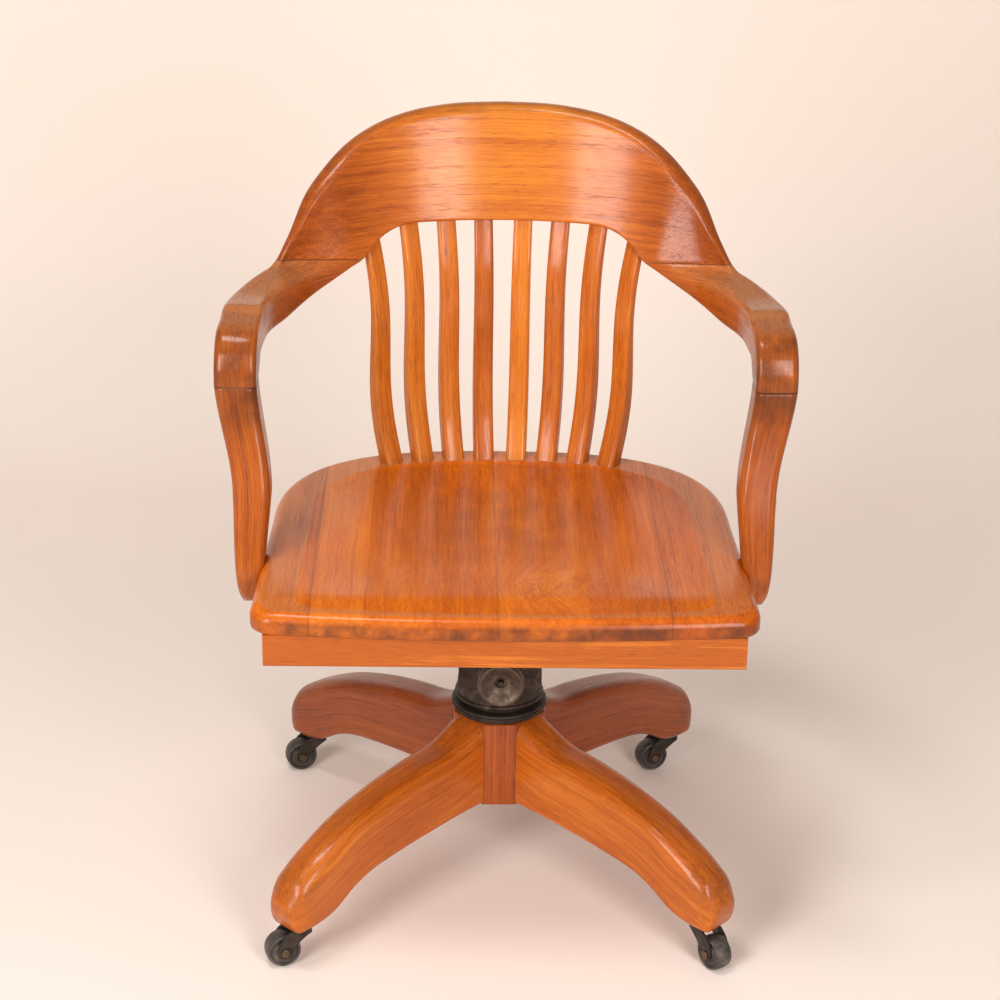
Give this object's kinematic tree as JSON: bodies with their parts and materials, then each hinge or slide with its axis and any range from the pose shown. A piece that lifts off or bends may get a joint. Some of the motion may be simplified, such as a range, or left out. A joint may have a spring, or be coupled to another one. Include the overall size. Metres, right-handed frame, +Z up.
{
  "type": "swivel armchair",
  "caption": "Oak bankers swivel chair with a horseshoe back and arms, slats, a dished seat, an iron spring tilt, a height screw and legs on casters.",
  "frame": {"origin": "on the floor, on the swivel axis", "axes": "the seat faces -Y, +X is the right of the picture, +Z up"},
  "size_m": [0.6158, 0.5189, 0.8475],
  "materials": {
    "oak": "polished golden brown oak",
    "pale_oak": "polished lighter oak",
    "cast_iron": "aged brown-grey",
    "black_iron": "worn black",
    "steel": "aged bright steel",
    "caster_tread": "hard, worn dark grey",
    "brass": "dull"
  },
  "bodies": {
    "base": {"hub_post": "oak", "hub_socket": "black_iron", "leg_front_left": "oak", "leg_front_right": "oak", "leg_rear_left": "oak", "leg_rear_right": "oak", "caster_socket_front_left": "black_iron", "caster_socket_front_right": "black_iron", "caster_socket_rear_left": "black_iron", "caster_socket_rear_right": "black_iron"},
    "caster_front_left": {"caster_fork_front_left": "black_iron", "caster_axle_front_left": "brass"},
    "wheel_front_left": {"caster_wheel_front_left": "caster_tread"},
    "caster_front_right": {"caster_fork_front_right": "black_iron", "caster_axle_front_right": "brass"},
    "wheel_front_right": {"caster_wheel_front_right": "caster_tread"},
    "caster_rear_left": {"caster_fork_rear_left": "black_iron", "caster_axle_rear_left": "brass"},
    "wheel_rear_left": {"caster_wheel_rear_left": "caster_tread"},
    "caster_rear_right": {"caster_fork_rear_right": "black_iron", "caster_axle_rear_right": "brass"},
    "wheel_rear_right": {"caster_wheel_rear_right": "caster_tread"},
    "nut": {"height_nut": "black_iron"},
    "yoke": {"spindle_screw": "steel", "spindle_lock_pin": "steel", "tilt_housing": "cast_iron", "tilt_pin": "steel", "tilt_spring": "steel"},
    "seat": {"seat_board": "oak", "apron_front": "pale_oak", "apron_rear": "oak", "apron_left": "oak", "apron_right": "oak", "seat_iron_left": "cast_iron", "seat_iron_right": "cast_iron", "tilt_lever": "cast_iron", "crest_rail": "oak", "arm_left": "oak", "arm_right": "oak", "arm_post_left": "oak", "arm_post_right": "oak", "slat_1": "oak", "slat_2": "oak", "slat_3": "oak", "slat_4": "oak", "slat_5": "oak", "slat_6": "oak", "slat_7": "oak", "slat_8": "oak", "post_screw_left_front": "steel", "post_screw_left_rear": "steel", "post_screw_right_front": "steel", "post_screw_right_rear": "steel"},
    "knob": {"tension_knob": "cast_iron", "tension_rod": "steel"},
    "cup": {"spring_cup": "steel"},
    "plunger": {"spring_plunger": "steel"}
  },
  "joints": [
    {"name": "caster_swivel_front_left", "type": "hinge", "parent": "base", "child": "caster_front_left", "pos_m": [-0.21767, -0.22423, 0.044], "axis": [0, 0, 1], "continuous": true},
    {"name": "wheel_spin_front_left", "type": "hinge", "parent": "caster_front_left", "child": "wheel_front_left", "pos_m": [-0.23693, -0.23124, 0.0195], "axis": [0.342, -0.9397, 0], "continuous": true},
    {"name": "caster_swivel_front_right", "type": "hinge", "parent": "base", "child": "caster_front_right", "pos_m": [0.22423, -0.21767, 0.044], "axis": [0, 0, 1], "continuous": true},
    {"name": "wheel_spin_front_right", "type": "hinge", "parent": "caster_front_right", "child": "wheel_front_right", "pos_m": [0.23539, -0.23486, 0.0195], "axis": [0.8387, 0.5446, 0], "continuous": true},
    {"name": "caster_swivel_rear_left", "type": "hinge", "parent": "base", "child": "caster_rear_left", "pos_m": [-0.22423, 0.21767, 0.044], "axis": [0, 0, 1], "continuous": true},
    {"name": "wheel_spin_rear_left", "type": "hinge", "parent": "caster_rear_left", "child": "wheel_rear_left", "pos_m": [-0.24393, 0.21202, 0.0195], "axis": [0.2756, -0.9613, 0], "continuous": true},
    {"name": "caster_swivel_rear_right", "type": "hinge", "parent": "base", "child": "caster_rear_right", "pos_m": [0.21767, 0.22423, 0.044], "axis": [0, 0, 1], "continuous": true},
    {"name": "wheel_spin_rear_right", "type": "hinge", "parent": "caster_rear_right", "child": "wheel_rear_right", "pos_m": [0.19853, 0.21688, 0.0195], "axis": [0.3584, -0.9336, 0], "continuous": true},
    {"name": "seat_swivel", "type": "hinge", "parent": "base", "child": "nut", "pos_m": [0, 0, 0.183], "axis": [0, 0, 1], "continuous": true},
    {"name": "height_slide", "type": "slide", "parent": "nut", "child": "yoke", "axis": [0, 0, 1], "range_m": [0, 0.075]},
    {"name": "seat_tilt", "type": "hinge", "parent": "yoke", "child": "seat", "pos_m": [0, 0, 0.3286], "axis": [-1, 0, 0], "range_deg": [0, 18], "stiffness_Nm_per_rad": 60, "springref_deg": -20.05},
    {"name": "knob_turn", "type": "hinge", "parent": "yoke", "child": "knob", "pos_m": [0, -0.08, 0.2666], "axis": [0, -1, 0], "range_deg": [0, 720]},
    {"name": "cup_slide", "type": "slide", "parent": "yoke", "child": "cup", "axis": [0, 1, 0], "range_m": [0, 0.006], "deforming": ["tilt_spring"]},
    {"name": "plunger_slide", "type": "slide", "parent": "yoke", "child": "plunger", "axis": [0, -1, 0], "range_m": [0, 0.02108], "deforming": ["tilt_spring"]}
  ],
  "couplings": [
    {"joint": "cup_slide", "follows": "knob_turn", "m_per_rad": 0.00047746},
    {"joint": "plunger_slide", "follows": "seat_tilt", "m_per_rad": 0.066957}
  ]
}
